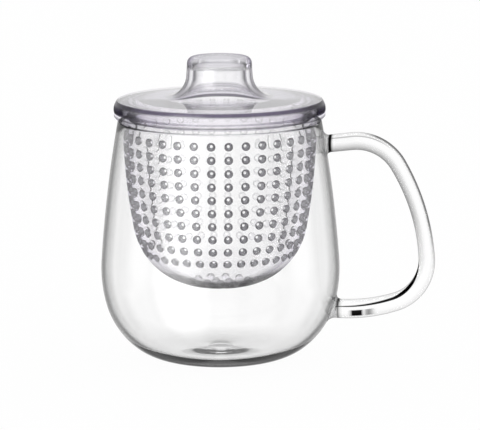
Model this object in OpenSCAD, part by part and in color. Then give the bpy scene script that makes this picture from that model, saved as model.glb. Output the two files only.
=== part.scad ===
// Lidded tea mug with a lift-out infuser.
//
// A blown glass mug with a bent glass rod welded on as its handle, a moulded
// strainer that hangs by its flange in the mouth, and a moulded lid whose
// hollow knob is one piece with its plate.
// Millimetres, +Z up. The origin is the centre of the flat base and the
// handle lies along +X.

/* [Mug] */
// Widest outer diameter of the mug
belly_d = 89.8; // [84:0.2:98]
// Height of the widest place above the base
belly_z = 33.4; // [31:0.2:34.6]
// Radius of the curve through the belly
belly_r = 49.8; // [46:0.2:60]
// Radius of the curve between the belly and the corner
hip_r = 30.3; // [29:0.1:34]
// Radius of the corner between that curve and the base
corner_r = 21.4; // [18:0.2:24]
// Radius of the long curve from the belly to the mouth
flank_r = 488; // [300:2:700]
// Outer diameter of the mouth
mouth_d = 76.4; // [74:0.2:80]
// Height of the rim above the base
mug_h = 89.5; // [84:0.5:96]
// Thickness of the wall
wall = 1.6; // [1.4:0.1:2.4]
// Thickness of the floor
floor_t = 2.6; // [2:0.1:4]
// Diameter of the drop of glass left in the middle of the floor
drop_d = 10; // [6:0.5:14]
// Height of that drop
drop_h = 0.8; // [0.4:0.1:1.4]

/* [Handle] */
// Diameter of the glass rod at the upper weld
rod_d = 6.6; // [5:0.1:8]
// Diameter of the rod half way down, where bending drew it thinner
waist_d = 5.9; // [4.5:0.1:7]
// Diameter of the rod along its lower run
tail_d = 7.2; // [5:0.1:8]
// Depth of the upper weld below the rim
handle_drop = 8.2; // [7:0.1:12]
// Climb of the rod where it leaves the upper weld, in degrees
rise = 7; // [0:1:12]
// Length of the straight stretch after the upper weld
reach = 7.2; // [4:0.2:12]
// Radius of the upper bend
shoulder_r = 17.7; // [12:0.1:20]
// Radius of the long outer curve
back_r = 77.5; // [60:0.5:100]
// Radius of the lower bend
heel_r = 17; // [12:0.1:20]
// Radius of the curve back to the mug
tail_r = 61; // [50:1:90]
// Diameter of each weld on the wall
weld_d = 10.8; // [9:0.1:13]
// Distance from the wall to the end of the rod
weld_t = 3; // [2:0.1:4]

/* [Strainer] */
// Depth of the basket below the rim
basket_h = 62.5; // [56:0.5:70]
// Thickness of the basket's wall
basket_t = 1.5; // [1.2:0.1:2]
// Gap between the basket and the mouth, all round
basket_gap = 0.5; // [0.4:0.1:2]
// Radius of the basket's lower curve
basket_corner_r = 27; // [22:0.5:28]
// Radius of the long curve of the basket's side
basket_side_r = 226; // [200:1:400]
// Thickness of the flange
flange_t = 3.2; // [2.6:0.1:4]
// How far the flange stands out past the mouth
flange_out = 1.2; // [0.4:0.1:1.5]
// Columns of dimples round the side
columns = 36; // [24:1:36]
// Rows of dimples down the side
rows = 10; // [6:1:10]
// Distance between rows
row_pitch = 4.96; // [4.6:0.02:5]
// Depth of the first row below the flange
row_drop = 4.7; // [4:0.1:6]
// Outer diameter of a dimple
dimple_d = 3.1; // [2:0.1:3.4]
// Diameter of the hole at the bottom of a dimple
hole_d = 1; // [0.6:0.1:1.4]
// Radius of the inner ring of holes in the floor
inner_ring_r = 5; // [4.5:0.1:6]
// Radius of the outer ring of holes in the floor
outer_ring_r = 11; // [10:0.1:12]

/* [Lid] */
// How far the lid stands out past the flange
lid_out = 0.1; // [0:0.1:1]
// Thickness of the lid's edge
edge_t = 4.7; // [4:0.1:6]
// Rise of the lid's top from its edge to the knob
crown = 0.8; // [0:0.1:1.5]
// Thickness of the lid's plate
plate_t = 2.4; // [2:0.1:3]
// Depth of the spigot that sits in the strainer's mouth
spigot_h = 2.5; // [1.5:0.1:4]
// Thickness of the spigot
spigot_t = 2; // [1.5:0.1:2.5]
// Gap between the spigot and the strainer, all round
spigot_gap = 0.5; // [0.3:0.1:1]
// Width of the slope from the spigot up to the plate
slope_w = 2; // [1:0.1:3]

/* [Knob] */
// Diameter of the knob at its top
knob_d = 24.1; // [20:0.1:28]
// Height of the knob above the lid's plate
knob_h = 15.2; // [13:0.1:20]
// Radius round the edge of the knob's top
knob_round = 2.6; // [1:0.1:3]
// Lean of the knob's side, wider towards the plate, in degrees
knob_lean = 4; // [1:0.5:6]
// Thickness of the knob's top
cap_t = 3; // [2.4:0.1:4]
// Radius of the flare from the knob's side out to the plate
flare_r = 8.5; // [6:0.1:10]
// Thickness of the knob's side
neck_t = 2.3; // [1.8:0.1:3]

/* [Hidden] */
$fn = 96;

GLASS = [0.86, 0.89, 0.9, 0.45];
PLASTIC = [0.78, 0.77, 0.82, 0.6];

// Headings of the rod, in degrees, at the ends of its bends
shoulder_end = -59;
back_end = -86;
heel_end = -161;
tail_end = -181;
// The tail runs on past the wall by this turn, and the wall trims it
tail_extra = -8;

// Points of an arc about c from angle a to angle b, in n steps
function arc(c, r, a, b, n) =
    [for (i = [0:n]) c + r * [cos(a + (b - a) * i / n), sin(a + (b - a) * i / n)]];

// The same list without its first point
function rest(list) = [for (i = [1:len(list) - 1]) list[i]];

// ---- Mug profile: four arcs, each tangent to the next ----

belly_c = [belly_d / 2 - belly_r, belly_z];
// Angle, seen from the belly's centre, where the hip takes over
hip_a = -15.4;
hip_c = belly_c + (belly_r - hip_r) * [cos(hip_a), sin(hip_a)];
// Middle of the rounded rim
rim_c = [(mouth_d - wall) / 2, mug_h - wall / 2];
// Angle, seen from the belly's centre, where the flank takes over
to_rim = rim_c - belly_c;
flank_step = flank_r - belly_r;
flank_along = (pow(flank_r - wall / 2, 2) - flank_step * flank_step - to_rim * to_rim)
    / (2 * flank_step);
flank_a = atan2(to_rim.y, to_rim.x) - acos(flank_along / norm(to_rim));
flank_c = belly_c - flank_step * [cos(flank_a), sin(flank_a)];
rim_a = atan2(rim_c.y - flank_c.y, rim_c.x - flank_c.x);

// Radius of the flat that an arc of radius r leaves at height base
function flat_r(r, base, inset) =
    hip_c.x + sqrt(pow(hip_r - inset - r, 2) - pow(hip_c.y - base - r, 2));

// Half profile of the mug, inset from its outer face, from height base up to the rim
function side(inset, base) =
    let (
        r = corner_r - inset,
        c = [flat_r(r, base, inset), base + r],
        corner_a = atan2(c.y - hip_c.y, c.x - hip_c.x)
    )
    concat(
        arc(c, r, -90, corner_a, 8),
        rest(arc(hip_c, hip_r - inset, corner_a, hip_a, 6)),
        rest(arc(belly_c, belly_r - inset, hip_a, 0, 3)),
        rest(arc(belly_c, belly_r - inset, 0, flank_a, 3)),
        rest(arc(flank_c, flank_r - inset, flank_a, rim_a, 6))
    );

// Outer radius of the mug at height z, on the flank and on the hip
function flank_x(z) = flank_c.x + sqrt(pow(flank_r, 2) - pow(z - flank_c.y, 2));
function hip_x(z) = hip_c.x + sqrt(pow(hip_r, 2) - pow(z - hip_c.y, 2));

// Solid that the mug's outer face encloses, swollen by grow
module mug_solid(grow = 0) {
    outline = side(-grow, -grow);
    top = outline[len(outline) - 1];
    rotate_extrude()
        polygon(concat([[0, -grow]], outline, [[0, top.y]]));
}

module mug_body() {
    inner = side(wall, floor_t);
    rim_up = arc(rim_c, wall / 2, rim_a, 90, 4);
    rim_down = arc(rim_c, wall / 2, 90, 180 + rim_a, 4);
    drop_r = (pow(drop_d / 2, 2) + pow(drop_h, 2)) / (2 * drop_h);
    drop_a = asin(drop_d / 2 / drop_r);
    drop_c = [0, floor_t + drop_h - drop_r];
    color(GLASS)
    rotate_extrude()
        polygon(concat(
            [[0, 0]],
            side(0, 0),
            rest(rim_up),
            rest(rim_down),
            rest([for (i = [len(inner) - 1:-1:0]) inner[i]]),
            arc(drop_c, drop_r, 90 - drop_a, 90, 4)
        ));
}

// ---- Handle: a rod along tangent arcs in the plane y = 0 ----

upper_z = mug_h - handle_drop;
rod_start = [flank_x(upper_z), upper_z];
// A bend turns clockwise about its centre; h is the rod's heading
function bend_c(p, r, h) = p + r * [sin(h), -cos(h)];
function bend_p(c, r, h) = c + r * [-sin(h), cos(h)];

shoulder_p = rod_start + (reach + weld_t) * [cos(rise), sin(rise)];
shoulder_c = bend_c(shoulder_p, shoulder_r, rise);
back_p = bend_p(shoulder_c, shoulder_r, shoulder_end);
back_c = bend_c(back_p, back_r, shoulder_end);
heel_p = bend_p(back_c, back_r, back_end);
heel_c = bend_c(heel_p, heel_r, back_end);
tail_p = bend_p(heel_c, heel_r, heel_end);
tail_c = bend_c(tail_p, tail_r, heel_end);
lower_p = bend_p(tail_c, tail_r, tail_end);

// Puts a child's +Z along a heading from a point of the plane y = 0
module along(p, h) {
    translate([p.x, 0, p.y]) rotate([0, 90 - h, 0]) children();
}

// Stations of the rod as [x, z, heading], one every step degrees round a bend
function stations(c, r, h1, h2, step) =
    let (n = ceil((h1 - h2) / step))
    [for (i = [0:n]) let (h = h1 + (h2 - h1) * i / n, p = bend_p(c, r, h)) [p.x, p.y, h]];

rod_run = concat(
    [[rod_start.x, rod_start.y, rise]],
    stations(shoulder_c, shoulder_r, rise, shoulder_end, 6),
    rest(stations(back_c, back_r, shoulder_end, back_end, 3)),
    rest(stations(heel_c, heel_r, back_end, heel_end, 6)),
    rest(stations(tail_c, tail_r, heel_end, tail_end + tail_extra, 3))
);

// Diameter of the rod where its middle line is at height z
rod_middle = (shoulder_c.y + shoulder_r + tail_c.y - tail_r) / 2;
rod_half = shoulder_c.y + shoulder_r - rod_middle;
function rod_at(z) =
    waist_d + ((z > rod_middle ? rod_d : tail_d) - waist_d) * pow((z - rod_middle) / rod_half, 2);

// A round rod with the given number of sides, swept along its stations
module sweep(run, sides) {
    rings = len(run);
    points = [
        for (s = run, k = [0:sides - 1])
            let (a = (k + 0.5) * 360 / sides, r = rod_at(s.y) / 2, up = r * cos(a))
            [s.x - up * sin(s.z), r * sin(a), s.y + up * cos(s.z)]
    ];
    skin = [
        for (i = [0:rings - 2], k = [0:sides - 1])
            let (a = i * sides, b = a + sides, n = (k + 1) % sides)
            [a + k, a + n, b + n, b + k]
    ];
    first = [for (k = [sides - 1:-1:0]) k];
    last = [for (k = [0:sides - 1]) (rings - 1) * sides + k];
    polyhedron(points, concat([first, last], skin));
}

module handle() {
    color(GLASS)
    difference() {
        sweep(rod_run, 24);
        mug_solid(weld_t);
    }
}

// A weld flares from the end of the rod, of diameter d, out on to the wall
module weld(p, h, d) {
    flare = (weld_d - d) / 2;
    sunk = 3;
    color(GLASS)
    intersection() {
        difference() {
            along(p, h)
            translate([0, 0, -sunk])
            rotate_extrude()
                polygon(concat(
                    [[0, 0], [weld_d / 2, 0]],
                    arc([weld_d / 2, sunk + flare], flare, -90, -180, 6),
                    [[d / 2, sunk + 2 * weld_t], [0, sunk + 2 * weld_t]]
                ));
            mug_solid();
        }
        mug_solid(weld_t);
    }
}

module upper_weld() {
    weld(rod_start, rise, rod_d);
}

module lower_weld() {
    weld([hip_x(lower_p.y), lower_p.y], 180 + tail_end, tail_d);
}

// ---- Strainer ----

basket_r = mouth_d / 2 - wall - basket_gap;
basket_z = mug_h - basket_h;
flange_z = mug_h + flange_t;
flange_r = mouth_d / 2 + flange_out;
// Width and height of the bevel under the flange, and the rounding over it
flange_bevel = [1.5, 2];
flange_soft = 0.4;
side_c = [basket_r - basket_side_r, mug_h];
corner_lift = basket_z + basket_corner_r;
side_step = basket_side_r - basket_corner_r;
corner_c = [
    side_c.x + sqrt(pow(side_step, 2) - pow(mug_h - corner_lift, 2)),
    corner_lift
];
side_a = atan2(corner_c.y - side_c.y, corner_c.x - side_c.x);

// Angles at which the side arc and the lower arc, moved in by inset, reach height z
function on_side(z, inset) = asin((z - side_c.y) / (basket_side_r - inset));
function on_corner(z, inset) = asin((z - corner_c.y) / (basket_corner_r - inset));
function is_side(z, inset) = z > corner_c.y + (basket_corner_r - inset) * sin(side_a);
// Point at height z of the basket's face, moved in by inset
function basket_p(z, inset) =
    is_side(z, inset)
        ? side_c + (basket_side_r - inset) * [cos(on_side(z, inset)), sin(on_side(z, inset))]
        : corner_c
            + (basket_corner_r - inset) * [cos(on_corner(z, inset)), sin(on_corner(z, inset))];
// Outline of that face from the floor up to height z
function bowl_side(z, inset) =
    is_side(z, inset)
        ? concat(
            arc(corner_c, basket_corner_r - inset, -90, side_a, 12),
            rest(arc(side_c, basket_side_r - inset, side_a, on_side(z, inset), 3))
        )
        : arc(corner_c, basket_corner_r - inset, -90, on_corner(z, inset), 8);

first_z = mug_h - row_drop;
// Edges of the bands that the rows of dimples sit in, from the top down
bands = [for (i = [0:rows]) first_z + row_pitch / 2 - i * row_pitch];
bands_end = bands[rows];
// The dimpled flats stand in from the plain bands above and below by this
panel_step = 0.08;

// A dimple through the wall: a countersink from the outer face, where z = 0,
// down to a small hole in the inner face
module dimple() {
    spare = 0.3;
    slope = (dimple_d - hole_d) / basket_t;
    translate([0, 0, -basket_t - spare])
        cylinder(
            h = basket_t + 2 * spare,
            d1 = hole_d - slope * spare,
            d2 = dimple_d + slope * spare,
            $fn = 24
        );
}

// Dimples through one band, each square to its own flat
module dimple_row(i) {
    flat = cos(180 / columns);
    low = basket_p(bands[i + 1], panel_step);
    high = basket_p(bands[i], panel_step);
    middle = (low + high) / 2;
    tilt = atan2(high.y - low.y, (high.x - low.x) * flat);
    for (k = [0:columns - 1])
        rotate([0, 0, (k + 0.5) * 360 / columns])
        translate([middle.x * flat, 0, middle.y])
        rotate([0, tilt, 0])
            dimple();
}

// The dimpled zone: every band has one small flat for each column
module dimpled_zone() {
    ring = columns;
    levels = rows + 1;
    points = [
        for (inset = [0, basket_t], z = bands)
            let (p = basket_p(z, inset + panel_step))
            for (k = [0:ring - 1]) [p.x * cos(k * 360 / ring), p.x * sin(k * 360 / ring), z]
    ];
    inner = levels * ring;
    last = rows * ring;
    faces = [
        for (k = [0:ring - 1])
            let (n = (k + 1) % ring)
            each concat(
                [for (i = [0:rows - 1]) let (a = i * ring, b = a + ring) [a + k, a + n, b + n, b + k]],
                [
                    for (i = [0:rows - 1])
                        let (a = inner + i * ring, b = a + ring) [b + k, b + n, a + n, a + k]
                ],
                [[inner + k, inner + n, n, k]],
                [[last + k, last + n, inner + last + n, inner + last + k]]
            )
    ];
    difference() {
        polyhedron(points, faces);
        for (i = [0:rows - 1]) dimple_row(i);
    }
}

// Flange and plain band above the dimples
module collar() {
    low = bands[0];
    rotate_extrude()
        polygon(concat(
            [
                [basket_p(low, 0).x, low],
                [basket_r, mug_h],
                [flange_r - flange_bevel.x, mug_h],
                [flange_r, mug_h + flange_bevel.y]
            ],
            arc([flange_r - flange_soft, flange_z - flange_soft], flange_soft, 0, 90, 4),
            [
                [basket_r - basket_t, flange_z],
                [basket_r - basket_t, mug_h],
                [basket_p(low, basket_t).x, low]
            ]
        ));
}

// Height of the basket's under face at radius r
function floor_z(r) = corner_c.y - sqrt(pow(basket_corner_r, 2) - pow(max(0, r - corner_c.x), 2));

module floor_dimple(r, a) {
    rotate([0, 0, a])
    translate([r, 0, floor_z(r)])
    rotate([180, 0, 0])
        dimple();
}

// Plain curve below the dimples, and the floor with its rings of holes
module bowl() {
    inner = bowl_side(bands_end, basket_t);
    difference() {
        rotate_extrude()
            polygon(concat(
                [[0, basket_z]],
                bowl_side(bands_end, 0),
                [for (i = [len(inner) - 1:-1:0]) inner[i]],
                [[0, basket_z + basket_t]]
            ));
        floor_dimple(0, 0);
        for (k = [0:5]) floor_dimple(inner_ring_r, k * 60);
        for (k = [0:11]) floor_dimple(outer_ring_r, k * 30);
    }
}

module strainer() {
    color(PLASTIC)
    union() {
        collar();
        dimpled_zone();
        bowl();
    }
}

// ---- Lid ----

lid_r = flange_r + lid_out;
edge_z = flange_z + edge_t;
plate_z = edge_z + crown;
spigot_r = basket_r - basket_t - spigot_gap;

// The lid's edge bows out between two rounded corners that are tangent to the bow
bow_r = 5.5;
bow_c = [lid_r - bow_r, flange_z + 1.2];
edge_round = 1;
under_round = 0.6;
function bow_x(z, r) = bow_c.x + sqrt(pow(bow_r - r, 2) - pow(z - bow_c.y, 2));
over_c = [bow_x(edge_z - edge_round, edge_round), edge_z - edge_round];
under_c = [bow_x(flange_z + under_round, under_round), flange_z + under_round];
over_a = atan2(over_c.y - bow_c.y, over_c.x - bow_c.x);
under_a = atan2(under_c.y - bow_c.y, under_c.x - bow_c.x);

// The knob's side is a straight line that leans, tangent to a curve at each end.
// lean_x is where a point must be to stand off that line by off, towards the middle.
knob_z = plate_z + knob_h;
crest_c = [knob_d / 2 - knob_round, knob_z - knob_round];
function lean_x(z, off) =
    crest_c.x + (knob_round - off) / cos(knob_lean) + (crest_c.y - z) * tan(knob_lean);
flare_c = [lean_x(plate_z + flare_r, -flare_r), plate_z + flare_r];
flare_a = 180 + knob_lean;
ceiling_z = knob_z - cap_t;
ceiling_round = 2.2;
ceiling_c = [
    lean_x(ceiling_z - ceiling_round, neck_t + ceiling_round),
    ceiling_z - ceiling_round
];

module lid() {
    color(PLASTIC)
    rotate_extrude()
        polygon(concat(
            // Underside, from the cavity's ceiling out to the edge
            [[0, ceiling_z]],
            arc(ceiling_c, ceiling_round, 90, knob_lean, 6),
            arc(flare_c, flare_r + neck_t, flare_a, 270, 12),
            [
                [spigot_r - spigot_t - slope_w, plate_z - plate_t],
                [spigot_r - spigot_t, flange_z],
                [spigot_r - spigot_t, flange_z - spigot_h],
                [spigot_r, flange_z - spigot_h],
                [spigot_r, flange_z]
            ],
            // Bowed edge
            arc(under_c, under_round, -90, under_a, 4),
            rest(arc(bow_c, bow_r, under_a, over_a, 6)),
            rest(arc(over_c, edge_round, over_a, 90, 4)),
            // Top of the plate, the flare and the knob
            arc(flare_c, flare_r, 270, flare_a, 12),
            arc(crest_c, knob_round, knob_lean, 90, 8),
            [[0, knob_z]]
        ));
}

mug_body();
handle();
upper_weld();
lower_weld();
strainer();
lid();
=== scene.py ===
"""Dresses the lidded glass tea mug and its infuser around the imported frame.

Everything is in metres in the frame of the solids: +Z up, the origin at the
centre of the mug's flat base, the handle along +X.
"""

import logging
import math
from collections.abc import Callable
from dataclasses import dataclass
from enum import Enum

import bmesh
import bpy
from mathutils import Matrix, Vector


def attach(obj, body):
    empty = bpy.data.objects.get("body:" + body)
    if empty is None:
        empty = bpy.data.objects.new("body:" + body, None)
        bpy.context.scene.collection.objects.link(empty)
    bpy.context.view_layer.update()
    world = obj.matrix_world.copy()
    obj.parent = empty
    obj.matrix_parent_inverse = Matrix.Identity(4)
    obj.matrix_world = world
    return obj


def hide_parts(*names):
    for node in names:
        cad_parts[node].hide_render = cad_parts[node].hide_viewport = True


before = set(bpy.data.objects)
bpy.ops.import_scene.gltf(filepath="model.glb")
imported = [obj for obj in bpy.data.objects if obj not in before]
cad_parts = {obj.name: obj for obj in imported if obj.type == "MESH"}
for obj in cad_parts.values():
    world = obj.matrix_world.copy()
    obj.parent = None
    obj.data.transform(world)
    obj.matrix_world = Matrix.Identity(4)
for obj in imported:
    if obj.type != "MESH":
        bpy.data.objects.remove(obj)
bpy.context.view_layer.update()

LOG = logging.getLogger("tea_mug")

MM = 0.001
FULL_TURN = 2 * math.pi
# How many steps a round piece takes in a full turn.
STEPS = 144
# How close two points are when they count as one.
MERGE = 2e-6

Point = tuple[float, float]
Axis = tuple[float, float, float]
Colour = tuple[float, float, float]
Stop = tuple[float, "float | Colour"]
Stops = tuple[Stop, ...]
Mesh = bmesh.types.BMesh
Loop = list[bmesh.types.BMEdge]
Band = list[bmesh.types.BMFace]
Object = bpy.types.Object
Node = bpy.types.Node
Socket = bpy.types.NodeSocket


class Body(Enum):
    """The bodies that the pieces ride on."""

    MUG = "mug"
    STRAINER = "strainer"
    LID = "lid"


class Slot(Enum):
    """The record's material slots."""

    MUG = "mug_glass"
    HANDLE = "handle_glass"
    STRAINER = "strainer_plastic"
    LID = "lid_plastic"


# ---- Outlines and meshes ----


def arc(centre: Point, radius: float, start: float, end: float, steps: int) -> list[Point]:
    """Lays points along an arc in the (radius, height) plane.

    Args:
        centre: The arc's centre.
        radius: The arc's radius.
        start: The first angle, in radians.
        end: The last angle, in radians.
        steps: How many equal steps the arc is cut into.

    Returns:
        The points, both ends included.
    """
    angles = [start + (end - start) / steps * i for i in range(steps + 1)]
    return [(centre[0] + radius * math.cos(a), centre[1] + radius * math.sin(a)) for a in angles]


def toward(angle: float) -> Vector:
    """Gives the step of length 1 at an angle in the (radius, height) plane."""
    return Vector((math.cos(angle), math.sin(angle)))


def angle_of(step: Vector) -> float:
    """Gives the angle of a step in the (radius, height) plane."""
    return math.atan2(step.y, step.x)


def polar(radius: float, turn: float, z: float) -> Vector:
    """Finds the point at a radius, at a turn about Z and at a height."""
    return Vector((radius * math.cos(turn), radius * math.sin(turn), z))


def level_circle(radius: float, z: float, steps: int, start: float = 0.0) -> list[Vector]:
    """Draws a level circle about Z, its first point at the turn start."""
    return [polar(radius, FULL_TURN * k / steps + start, z) for k in range(steps)]


def spin(bm: Mesh, geom: list, steps: int, count: int, copies: bool) -> None:
    """Turns part of a mesh about Z.

    Args:
        bm: The mesh.
        geom: The vertices, edges and faces to turn.
        steps: How many steps they take.
        count: How many such steps make a full turn.
        copies: Whether each step leaves a copy, and not a swept surface.
    """
    bmesh.ops.spin(
        bm,
        geom=geom,
        cent=(0, 0, 0),
        axis=(0, 0, 1),
        dvec=(0, 0, 0),
        angle=FULL_TURN * steps / count,
        steps=steps,
        use_merge=not copies,
        use_normal_flip=False,
        use_duplicate=copies,
    )


def spin_profile(bm: Mesh, profile: list[Point], steps: int = STEPS) -> None:
    """Adds the surface that an open outline sweeps in a full turn about Z.

    Args:
        bm: The mesh that the surface is added to.
        profile: The outline's (radius, height) points, in order.
        steps: How many steps the turn is cut into.
    """
    verts = [bm.verts.new((r, 0.0, z)) for r, z in profile]
    edges = [bm.edges.new(pair) for pair in zip(verts, verts[1:])]
    spin(bm, verts + edges, steps, steps, copies=False)


def closed_loop(bm: Mesh, points: list[Vector]) -> Loop:
    """Adds a closed loop of edges through the points and returns the edges."""
    verts = [bm.verts.new(p) for p in points]
    return [bm.edges.new((a, b)) for a, b in zip(verts, verts[1:] + verts[:1])]


def bridge(bm: Mesh, loops: list[Loop]) -> list[Band]:
    """Joins each loop of edges to the next with a band of faces and returns the bands."""
    return [
        bmesh.ops.bridge_loops(bm, edges=first + second)["faces"]
        for first, second in zip(loops, loops[1:])
    ]


def use_second_finish(bands: list[Band]) -> None:
    """Gives every face of the bands the piece's second material."""
    for band in bands:
        for face in band:
            face.material_index = 1


def make_piece(
    bm: Mesh,
    name: str,
    sharp: float,
    body: Body,
    slot: Slot,
    finishes: "tuple[ClearFinish, ...]",
    nodes: tuple[str, ...],
) -> Object:
    """Closes a mesh, turns its faces outwards and makes it a finished piece.

    Args:
        bm: The finished mesh, which is freed.
        name: The piece's name.
        sharp: The angle between faces, in degrees, past which an edge is sharp.
        body: The body that it rides on.
        slot: Its material slot in the record; not used.
        finishes: Its finishes, in the order of its faces' numbers.
        nodes: The nodes that it stands for.

    Returns:
        The new object, linked to the scene.
    """
    bmesh.ops.remove_doubles(bm, verts=bm.verts, dist=MERGE)
    bmesh.ops.dissolve_degenerate(bm, dist=MERGE / 4, edges=bm.edges)
    bmesh.ops.recalc_face_normals(bm, faces=bm.faces)
    open_edges = sum(not e.is_manifold for e in bm.edges)
    mesh = bpy.data.meshes.new(name)
    bm.to_mesh(mesh)
    bm.free()
    for polygon in mesh.polygons:
        polygon.use_smooth = True
    mesh.set_sharp_from_angle(angle=math.radians(sharp))
    for finish in finishes:
        mesh.materials.append(finish.material())
    piece = bpy.data.objects.new(name, mesh)
    bpy.context.scene.collection.objects.link(piece)
    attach(piece, body.value)
    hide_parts(*nodes)
    LOG.info("%s: %d faces, %d open edges", name, len(mesh.polygons), open_edges)
    return piece


# ---- Finishes ----

# Keeps a place's X and Y and drops its Z.
FLAT = (1, 1, 0)
# How far a surface counts as level, by the Z of its normal.
LEVEL = ((0.8, 0), (0.96, 1))
# The grey that clear material leaves in the light it casts.
SHADOW_TINT = 0.97
# A gamma of a half gives each of a wall's two faces its share of a colour, painted shade included.
HALVING = 0.5
# The height of the slow waves, as a share of their size.
WAVE_SHARE = 0.1


def rgba(shade: "float | Colour") -> tuple[float, ...]:
    """Turns a grey or a colour into the four numbers of a solid colour."""
    return (*shade, 1.0) if isinstance(shade, tuple) else (shade, shade, shade, 1.0)


class Sheet:
    """A node tree, with short calls to add and join nodes."""

    def __init__(self, tree: bpy.types.NodeTree, output: str) -> None:
        """Empties a node tree and gives it an output of the named type."""
        self.tree = tree
        self.tree.nodes.clear()
        self.output = self.add(output)

    def feed(self, value: "float | Colour | Socket", target: Socket) -> None:
        """Sets a socket to a constant, or links it to another socket."""
        if isinstance(value, Socket):
            self.tree.links.new(value, target)
        else:
            target.default_value = rgba(value) if target.type == "RGBA" else value

    def add(
        self, kind: str, inputs: "dict[int | str, object] | None" = None, **settings: object
    ) -> Node:
        """Adds a node, sets its properties and feeds its inputs.

        Args:
            kind: The node's type name, less the letters ShaderNode that start it.
            inputs: Constants or sockets for its inputs, by their names or places.
            settings: The node's properties by name.

        Returns:
            The node.
        """
        node = self.tree.nodes.new("ShaderNode" + kind)
        for key, value in settings.items():
            setattr(node, key, value)
        for key, value in (inputs or {}).items():
            self.feed(value, node.inputs[key])
        return node

    def read(self, kind: str, output: str) -> Socket:
        """Adds a node that has no inputs and returns one of its outputs."""
        return self.add(kind).outputs[output]

    def maths(self, operation: str, *values: "float | Socket") -> Socket:
        """Adds a Math node that works on the values in order and returns its result."""
        node = self.add("Math", dict(enumerate(values)), operation=operation)
        return node.outputs["Value"]

    def vector(self, operation: str, *values: "Axis | Socket") -> Node:
        """Adds a Vector Math node that works on the values in order."""
        return self.add("VectorMath", dict(enumerate(values)), operation=operation)

    def ramp(self, source: Socket, stops: Stops) -> Socket:
        """Adds a colour ramp.

        Args:
            source: What the ramp reads, from 0 to 1.
            stops: The ramp's stops, each a place and a grey or a colour.

        Returns:
            The ramp's colour.
        """
        node = self.add("ValToRGB", {"Fac": source})
        ramp = node.color_ramp
        ramp.interpolation = "LINEAR"
        ramp.elements.remove(ramp.elements[-1])
        ramp.elements[0].position = stops[0][0]
        for i, (place, shade) in enumerate(stops):
            element = ramp.elements.new(place) if i else ramp.elements[0]
            element.color = rgba(shade)
        return node.outputs["Color"]

    def choose(
        self,
        factor: Socket,
        off: "float | Colour | Socket",
        on: "float | Colour | Socket",
        blend: str = "MIX",
    ) -> Socket:
        """Adds a colour mix that goes from off to on as factor goes from 0 to 1.

        Args:
            factor: The share of the second colour.
            off: The first colour.
            on: The second colour.
            blend: The way the two are mixed.

        Returns:
            The mixed colour.
        """
        inputs = {"Factor": factor, "A": off, "B": on}
        return self.add("Mix", inputs, data_type="RGBA", blend_type=blend).outputs["Result"]

    def finish(self, factor: "float | Socket", off: Socket, on: Socket) -> None:
        """Puts out a mix of two shaders, off at factor 0 and on at factor 1."""
        mix = self.add("MixShader", {"Fac": factor, 1: off, 2: on})
        self.feed(mix.outputs["Shader"], self.output.inputs["Surface"])


def new_material(name: str) -> tuple[bpy.types.Material, Sheet]:
    """Starts a material and returns it with its node sheet."""
    material = bpy.data.materials.new(name)
    material.use_nodes = True
    return material, Sheet(material.node_tree, "OutputMaterial")


class Measure(Enum):
    """What a gate measures: the node and the output it reads, and how far that reaches."""

    NORMAL = ("NewGeometry", "Normal", 1.0)
    PLACE = ("TexCoord", "Object", 115 * MM)


@dataclass(frozen=True)
class Gate:
    """Opens by how far a direction or a place lies along a line.

    Attributes:
        measure: What is measured.
        along: The line it is measured along.
        stops: How open the gate is, from 0 to 1, by the measure.
    """

    measure: Measure
    along: Axis
    stops: Stops

    def factor(self, sheet: Sheet) -> Socket:
        """Adds the nodes that say how open the gate is."""
        kind, output, reach = self.measure.value
        dot = sheet.vector("DOT_PRODUCT", sheet.read(kind, output), self.along)
        place = sheet.maths("MULTIPLY_ADD", dot.outputs["Value"], 0.5 / reach, 0.5)
        return sheet.ramp(place, tuple((0.5 + 0.5 * at / reach, v) for at, v in self.stops))


def faces(along: Axis, *stops: Stop) -> Gate:
    """Makes a gate that opens by the way a surface faces."""
    return Gate(Measure.NORMAL, along, stops)


def lies(along: Axis, *stops: Stop) -> Gate:
    """Makes a gate that opens by how many millimetres along a line a surface lies."""
    return Gate(Measure.PLACE, along, tuple((at * MM, shade) for at, shade in stops))


@dataclass(frozen=True)
class ShadeStreak:
    """A painted shade line along a clear round surface, where dark surroundings would show bent
    through it.

    Attributes:
        lines: How dark the painted shade is, from 0 to 1, by how edge on the surface is seen.
        gates: Where it shows.
        tint: Its colour where it is darkest.
    """

    lines: Stops
    gates: tuple[Gate, ...]
    tint: Colour = (0.0, 0.0, 0.0)

    def factor(self, sheet: Sheet, edge_on: Socket) -> Socket:
        """Adds the nodes that say how dark the painted shade streak is."""
        share = sheet.maths("SUBTRACT", 1.0, sheet.read("NewGeometry", "Backfacing"))
        for part in [sheet.ramp(edge_on, self.lines)] + [g.factor(sheet) for g in self.gates]:
            share = sheet.maths("MULTIPLY", share, part)
        return share


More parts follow.
